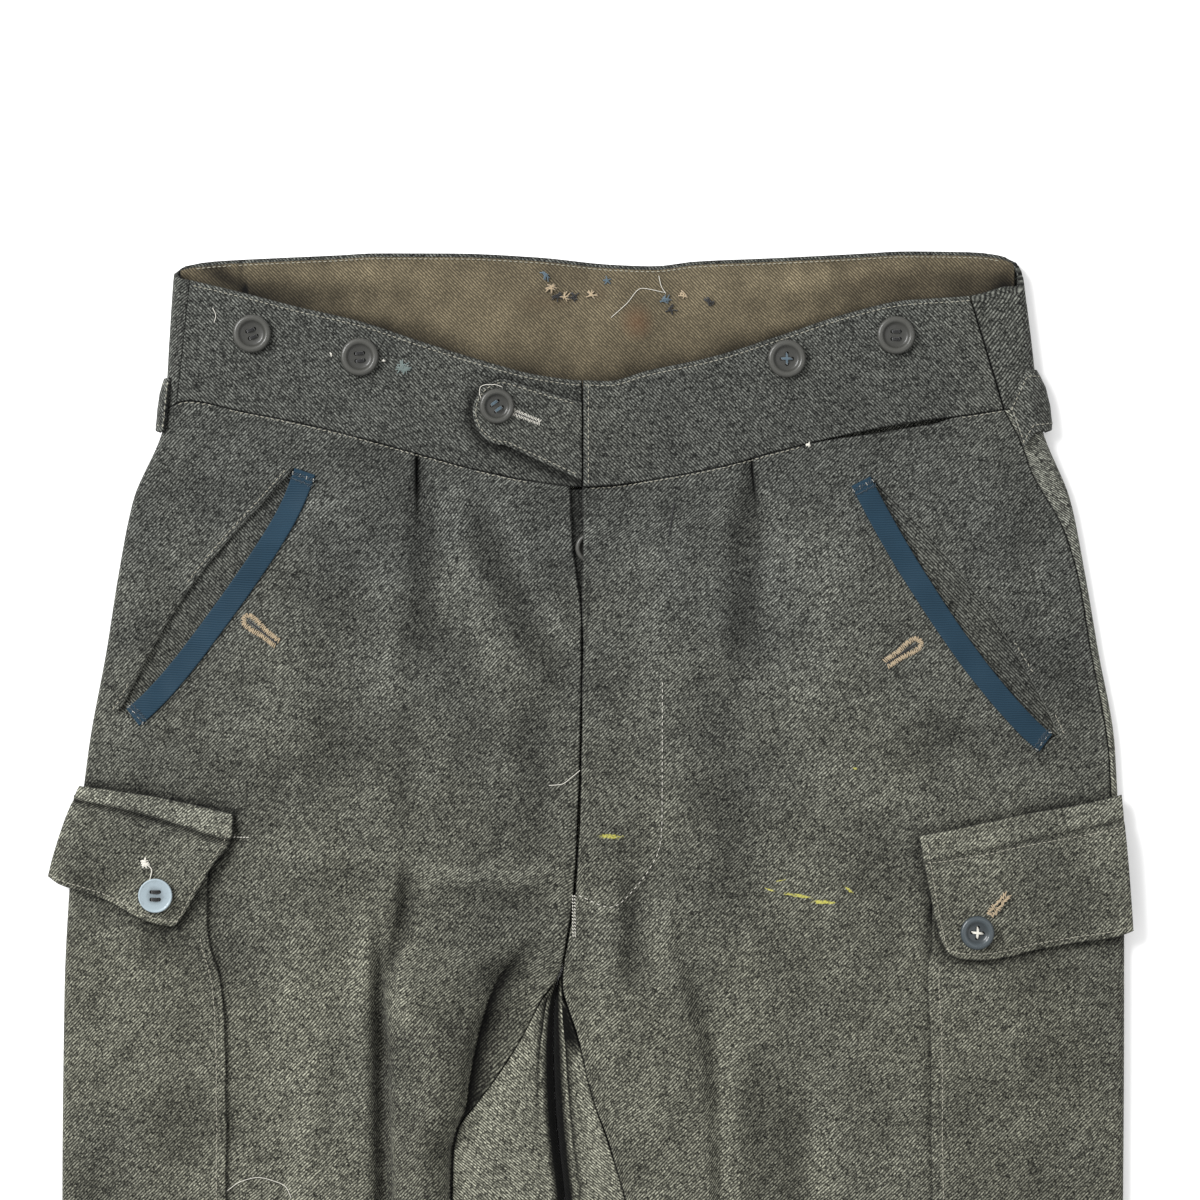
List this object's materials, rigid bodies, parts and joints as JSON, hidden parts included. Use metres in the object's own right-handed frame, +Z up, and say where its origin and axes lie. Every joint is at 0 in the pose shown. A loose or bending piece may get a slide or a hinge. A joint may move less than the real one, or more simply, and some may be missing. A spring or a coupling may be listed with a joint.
{
  "type": "military trousers",
  "caption": "Grey wool twill trousers laid flat on their back, with a high lined waistband, brace buttons, slanted hip pockets edged with tape and flapped thigh pockets.",
  "frame": {"origin": "on the resting surface, under the middle of the bounding box", "axes": "+Z up from the resting surface, +Y from the hems to the waist, +X to the wearer's left"},
  "size_m": [0.511, 1.04, 0.0231],
  "materials": {
    "wool": "matte salt-and-pepper twill",
    "lining": "matte brown cotton twill",
    "tape": "ribbed tape, slight sheen",
    "dark_button": "satin dark grey",
    "pale_button": "satin pale blue-grey"
  },
  "bodies": {
    "root": {"front_right": "wool", "back_right": "wool", "front_left": "wool", "back_left": "wool", "waistband_front_right": "wool", "waistband_front_left": "wool", "waistband_back": "wool", "waistband_lining": "lining", "waist_tab": "wool", "fly_underlap": "wool", "side_strap_right": "wool", "side_strap_left": "wool", "hip_pocket_tape_right": "tape", "hip_pocket_tape_left": "tape", "hip_pocket_facing_right": "wool", "hip_pocket_facing_left": "wool", "thigh_pocket_right": "wool", "thigh_pocket_left": "wool", "thigh_flap_right": "wool", "thigh_flap_left": "wool", "brace_button_1": "dark_button", "brace_button_2": "dark_button", "brace_button_3": "dark_button", "brace_button_4": "dark_button", "tab_button": "dark_button", "fly_button": "dark_button", "flap_button_right": "pale_button", "flap_button_left": "pale_button"}
  },
  "joints": []
}
